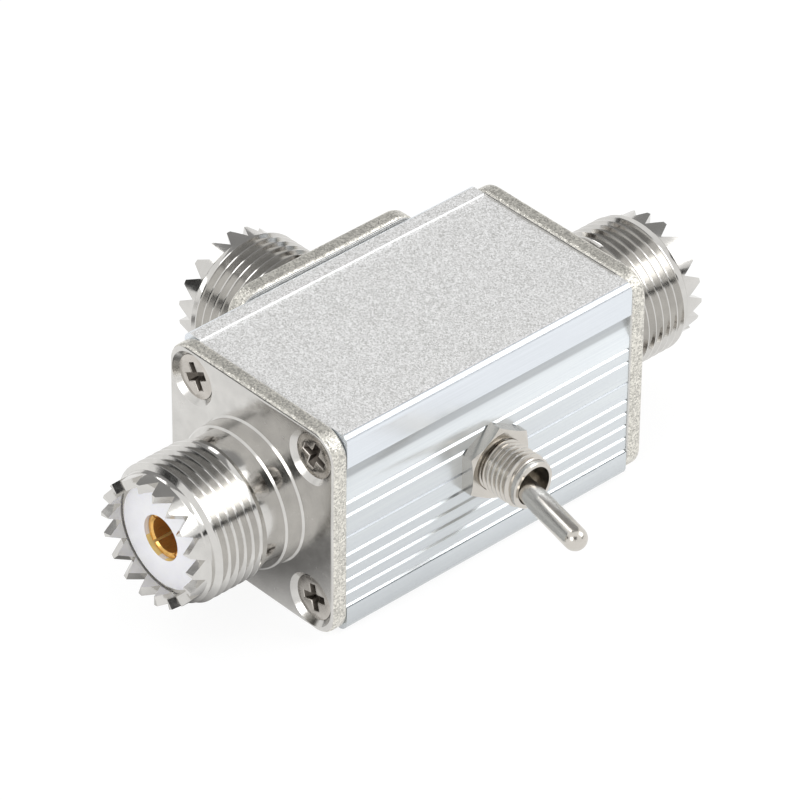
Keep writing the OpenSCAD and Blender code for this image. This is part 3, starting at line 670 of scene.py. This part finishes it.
class SWITCH_OT_sockets(bpy.types.Operator):
    """Cuts the barrel threads and gives the flanges their sheared edges"""
    bl_idname = "switch.sockets"
    bl_label = "Sockets"

    def execute(self, context):
        _, detail, _ = settings()
        for side in SIDES:
            self.dress_socket(side, detail)
        return {"FINISHED"}

    def dress_socket(self, side, detail):
        """Turns the barrel down to its core, cuts the thread and sets the finishes."""
        node = side + "_socket_shell"
        place = socket_place(side)
        shape = node_shape(node)
        transform(shape, place.inverted())
        half = max(v.co.x for v in shape.verts)
        core = detail.barrel_crest - BARREL_CORE_SHARE * detail.barrel_pitch
        low, high = detail.barrel_start, detail.barrel_end
        for vertex in shape.verts:
            if low + 2 * TOUCH < vertex.co.z < high - 2 * TOUCH and radius_of(vertex) > core:
                set_radius(vertex, core)
        for face in shape.faces:
            if self.on_sheared_edge(face, half, detail):
                face.material_index = 1
            else:
                face.material_index = 2 if face.calc_center_median().z < detail.flange + NEAR else 0
        old_faces = set(shape.faces)

        def limit(z):
            lead = detail.barrel_crest - detail.barrel_lead + (z - low)
            tail = detail.crown + (high - z)
            return min(lead, tail, detail.barrel_crest)

        thread_sleeve(shape, detail.barrel_pitch, detail.barrel_crest, low, high, limit, detail.segments)
        for face in shape.faces:
            if face not in old_faces:
                face.material_index = 0
        transform(shape, place)
        add_piece(side + "_socket_dressed", shape, ["turned_nickel", "sheared_nickel", "flange_nickel"],
                  "root", [node])

    def on_sheared_edge(self, face, half, detail):
        """True on the rim of the flange, between its rolled arrises."""
        middle = face.calc_center_median()
        x, y = abs(middle.x), abs(middle.y)
        if middle.z > detail.flange or abs(face.normal.z) > FLANGE_FACE:
            return False
        turn = half - detail.flange_corner
        inner = detail.flange_corner - detail.flange_arris
        corner = min(x, y) > turn + 2 * NEAR and math.hypot(x - turn, y - turn) > inner
        return max(x, y) > half - detail.flange_arris or corner


class SWITCH_OT_contacts(bpy.types.Operator):
    """Gives the insulators and centre contacts their finish"""
    bl_idname = "switch.contacts"
    bl_label = "Insulators and contacts"

    def execute(self, context):
        _, detail, _ = settings()
        for side in SIDES:
            node = side + "_insulator"
            place = socket_place(side)
            low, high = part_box(side + "_centre_contact")
            # Insulator faces within this reach of the axis get the painted reflection of the gold
            reflection_reach = sorted(high - low)[0] / 2 + detail.reflection_margin
            shape = node_shape(node)
            transform(shape, place.inverted())
            for face in shape.faces:
                face.material_index = 1 if all(radius_of(v) < reflection_reach for v in face.verts) else 0
            transform(shape, place)
            add_piece(node + "_dressed", shape, ["white_insulator", "insulator_painted_reflection"],
                      "root", [node])
            dress_node(side + "_centre_contact", "gold_contact")
        return {"FINISHED"}


class SWITCH_OT_screws(bpy.types.Operator):
    """Forms the tapered cross recess and the soft rim of each screw"""
    bl_idname = "switch.screws"
    bl_label = "Flange screws"

    def execute(self, context):
        _, detail, _ = settings()
        half = detail.screw_pitch / 2
        for side in SIDES:
            node = "rear_flange_screws" if side == "rear" else side + "_end_screws"
            place = socket_place(side)
            shape = node_shape(node)
            transform(shape, place.inverted())
            top = max(v.co.z for v in shape.verts)
            rim = [e for e in shape.edges
                   if all(abs(v.co.z - top) < TOUCH for v in e.verts)]
            bmesh.ops.bevel(shape, geom=rim, offset=detail.screw_rim, offset_type="OFFSET", segments=2,
                            profile=0.5, affect="EDGES", clamp_overlap=True, material=-1)
            floor = top - detail.recess_depth
            for vertex in shape.verts:
                if abs(vertex.co.z - floor) < 2 * TOUCH:
                    centre = Vector((math.copysign(half, vertex.co.x), math.copysign(half, vertex.co.y)))
                    away = vertex.co.xy - centre
                    if away.length < detail.recess_reach + NEAR:
                        vertex.co.xy = centre + away * RECESS_FLOOR_SHARE
            # Faces inside the recess get painted shade
            for face in shape.faces:
                middle = face.calc_center_median()
                away = Vector((abs(middle.x) - half, abs(middle.y) - half)).length
                below_rim = top - middle.z > detail.screw_rim + NEAR
                above_floor = top - middle.z < detail.recess_depth + 2 * NEAR
                inside = away < detail.recess_reach and below_rim and above_floor
                face.material_index = 1 if inside else 0
            transform(shape, place)
            add_piece(node + "_dressed", shape, ["screw_nickel", "screw_recess_painted_shade"],
                      "root", [node], sharp=40.0)
        return {"FINISHED"}


class SWITCH_OT_toggle(bpy.types.Operator):
    """Threads the bushing and finishes the nut and the lever"""
    bl_idname = "switch.toggle"
    bl_label = "Toggle"

    def execute(self, context):
        _, detail, _ = settings()
        place = toggle_place()
        shape = node_shape("toggle_bushing")
        transform(shape, place.inverted())
        crest = max(radius_of(v) for v in shape.verts)
        high = -detail.bushing_rim
        low = high - detail.bushing_thread
        rim = max(radius_of(v) for v in shape.verts if v.co.z > high - 2 * NEAR)
        core = crest - BUSHING_CORE_SHARE * detail.bushing_pitch
        for vertex in shape.verts:
            if radius_of(vertex) > crest - TOUCH and vertex.co.z > low:
                set_radius(vertex, core)

        def limit(z):
            return min(crest, rim + max(0.0, high - z))

        thread_sleeve(shape, detail.bushing_pitch, crest, low, high, limit, detail.segments)
        transform(shape, place)
        add_piece("toggle_bushing_dressed", shape, ["toggle_nickel"], "root",
                  ["toggle_bushing"])
        dress_node("panel_nut", "toggle_nickel")
        dress_node("toggle_lever", "toggle_nickel")
        return {"FINISHED"}


class SWITCH_OT_inside(bpy.types.Operator):
    """Gives the pieces inside the box their finish"""
    bl_idname = "switch.inside"
    bl_label = "Inside"

    def execute(self, context):
        finishes = {
            "plain_steel": ("lock_washer", "locating_washer", "toggle_frame", "plunger_spring"),
            "moulded_plastic": ("switch_case", "terminal_base"),
            "nylon": ("lever_plunger",),
            "silvered_copper": ("rocker_contact", "terminal_common", "terminal_left", "terminal_right"),
            "tinned_wire": ("wire_common", "wire_left", "wire_right"),
        }
        for finish, nodes in finishes.items():
            for node in nodes:
                dress_node(node, finish)
        return {"FINISHED"}


class SWITCH_OT_stage(bpy.types.Operator):
    """Makes the pale floor, the lamps and the dark cards that the metal mirrors"""
    bl_idname = "switch.stage"
    bl_label = "Stage"

    def execute(self, context):
        _, _, studio = settings()
        self.make_world(studio)
        self.make_floor()
        for name, place, size, share in LAMPS:
            self.make_lamp(name, place, size, studio.key * share)
        for name, place, size, level in CARDS:
            self.make_card(name, place, size, level)
        self.make_shade("socket_shade", SHADE_PLACE, SHADE_RADII)
        context.scene.view_settings.view_transform = "Standard"
        return {"FINISHED"}

    def towards_switch(self, place):
        """Direction from a place to the origin, at half the height of the switch."""
        low, high = loaded_box
        return Vector((0, 0, (low[2] + high[2]) / 2)) - Vector(place)

    def seen_directly(self, tree):
        """1 for rays from the camera, from mirrors and through glass."""
        path = tree.nodes.new("ShaderNodeLightPath")
        total = path.outputs["Is Camera Ray"]
        for ray in ("Is Glossy Ray", "Is Transmission Ray"):
            add = tree.nodes.new("ShaderNodeMath")
            add.operation = "MAXIMUM"
            tree.links.new(total, add.inputs[0])
            tree.links.new(path.outputs[ray], add.inputs[1])
            total = add.outputs[0]
        return total

    def make_world(self, studio):
        """Even light all round, seen as plain white."""
        world = bpy.data.worlds.new("studio")
        bpy.context.scene.world = world
        world.use_nodes = True
        tree = world.node_tree
        even = tree.nodes["Background"]
        even.inputs["Color"].default_value = WHITE
        even.inputs["Strength"].default_value = studio.ambient
        white = tree.nodes.new("ShaderNodeBackground")
        white.inputs["Strength"].default_value = 1.0
        white.inputs["Color"].default_value = WHITE
        mix = tree.nodes.new("ShaderNodeMixShader")
        tree.links.new(self.seen_directly(tree), mix.inputs["Fac"])
        tree.links.new(even.outputs[0], mix.inputs[1])
        tree.links.new(white.outputs[0], mix.inputs[2])
        tree.links.new(mix.outputs[0], tree.nodes["World Output"].inputs["Surface"])

    def make_floor(self):
        """A pale floor that keeps the switch's soft shadow."""
        shape = bmesh.new()
        bmesh.ops.create_grid(shape, x_segments=1, y_segments=1, size=FLOOR_REACH)
        mesh = bpy.data.meshes.new("floor")
        shape.to_mesh(mesh)
        shape.free()
        floor = bpy.data.objects.new("floor", mesh)
        floor.location.z = -FLOOR_DROP
        bpy.context.scene.collection.objects.link(floor)
        material, tree, shader = new_material("floor_white", (FLOOR_GREY,) * 3, metallic=0.0, roughness=0.7)
        glow = tree.nodes.new("ShaderNodeEmission")
        glow.inputs["Strength"].default_value = FLOOR_GLOW
        mix = tree.nodes.new("ShaderNodeMixShader")
        share = tree.nodes.new("ShaderNodeMath")
        share.operation = "MULTIPLY"
        share.inputs[1].default_value = FLOOR_GLOW_SHARE
        tree.links.new(self.seen_directly(tree), share.inputs[0])
        tree.links.new(share.outputs[0], mix.inputs["Fac"])
        tree.links.new(shader.outputs[0], mix.inputs[1])
        tree.links.new(glow.outputs[0], mix.inputs[2])
        tree.links.new(mix.outputs[0], tree.nodes["Material Output"].inputs["Surface"])
        mesh.materials.append(material)

    def make_lamp(self, name, place, size, power):
        """A square lamp that points at the switch."""
        data = bpy.data.lights.new(name, "AREA")
        data.size = size
        data.energy = power
        lamp = bpy.data.objects.new(name, data)
        lamp.location = place
        lamp.rotation_mode = "QUATERNION"
        lamp.rotation_quaternion = self.towards_switch(place).to_track_quat("-Z", "Y")
        bpy.context.scene.collection.objects.link(lamp)

    def make_sheet(self, name, size, material):
        """A flat sheet that only mirrors see."""
        shape = bmesh.new()
        bmesh.ops.create_grid(shape, x_segments=1, y_segments=1, size=0.5)
        bmesh.ops.scale(shape, vec=(size[0], size[1], 1.0), verts=shape.verts)
        mesh = bpy.data.meshes.new(name)
        shape.to_mesh(mesh)
        shape.free()
        mesh.materials.append(material)
        sheet = bpy.data.objects.new(name, mesh)
        bpy.context.scene.collection.objects.link(sheet)
        sheet.visible_camera = False
        sheet.visible_diffuse = False
        sheet.visible_shadow = False
        sheet.visible_transmission = False
        return sheet

    def make_card(self, name, place, size, level):
        """A card that faces the switch, of the given grey level."""
        material, _, shader = new_material(name + "_grey", (0.01, 0.01, 0.01), metallic=0.0, roughness=0.9)
        shader.inputs["Emission Color"].default_value = WHITE
        shader.inputs["Emission Strength"].default_value = level
        card = self.make_sheet(name, size, material)
        card.location = place
        card.rotation_mode = "QUATERNION"
        card.rotation_quaternion = self.towards_switch(place).to_track_quat("Z", "Y")

    def make_shade(self, name, place, radii):
        """Painted shade that a socket leaves on the floor: a soft dark patch that only the mirrors see."""
        material, tree, shader = new_material(
            name + "_dark", (0.10, 0.095, 0.09), metallic=0.0, roughness=0.9)
        source = tree.nodes.new("ShaderNodeTexCoord")
        mapping = tree.nodes.new("ShaderNodeMapping")
        mapping.inputs["Scale"].default_value = (1 / radii[0], 1 / radii[1], 1.0)
        tree.links.new(source.outputs["Object"], mapping.inputs["Vector"])
        far = tree.nodes.new("ShaderNodeVectorMath")
        far.operation = "LENGTH"
        tree.links.new(mapping.outputs["Vector"], far.inputs[0])
        cover = ramp(tree, far.outputs["Value"], [(0.35, (0.85,) * 3), (1.0, (0.0,) * 3)])
        tree.links.new(cover, shader.inputs["Alpha"])
        patch = self.make_sheet(name, (2 * radii[0], 2 * radii[1]), material)
        patch.location = place


class SWITCH_PT_panel(bpy.types.Panel):
    """Lists the pieces and settings of the antenna switch"""
    bl_idname = "SWITCH_PT_panel"
    bl_label = "Antenna switch"
    bl_space_type = "VIEW_3D"
    bl_region_type = "UI"
    bl_category = "Antenna switch"

    def draw(self, context):
        layout = self.layout
        for operator in OPERATORS:
            layout.operator(operator.bl_idname)
        for group in settings():
            box = layout.box()
            for name in group.bl_rna.properties.keys():
                if name not in ("rna_type", "name"):
                    box.prop(group, name)


OPERATORS = (SWITCH_OT_camera, SWITCH_OT_shells, SWITCH_OT_sockets, SWITCH_OT_contacts,
             SWITCH_OT_screws, SWITCH_OT_toggle, SWITCH_OT_inside, SWITCH_OT_stage)
CLASSES = (SwitchFinish, SwitchDetail, SwitchStudio) + OPERATORS + (SWITCH_PT_panel,)


def register():
    for each in CLASSES:
        bpy.utils.register_class(each)
    bpy.types.Scene.switch_finish = PointerProperty(type=SwitchFinish)
    bpy.types.Scene.switch_detail = PointerProperty(type=SwitchDetail)
    bpy.types.Scene.switch_studio = PointerProperty(type=SwitchStudio)


def unregister():
    del bpy.types.Scene.switch_studio
    del bpy.types.Scene.switch_detail
    del bpy.types.Scene.switch_finish
    for each in reversed(CLASSES):
        bpy.utils.unregister_class(each)


def main():
    register()
    bpy.ops.switch.camera()
    bpy.ops.switch.shells()
    bpy.ops.switch.sockets()
    bpy.ops.switch.contacts()
    bpy.ops.switch.screws()
    bpy.ops.switch.toggle()
    bpy.ops.switch.inside()
    bpy.ops.switch.stage()


if __name__ == "__main__":
    main()
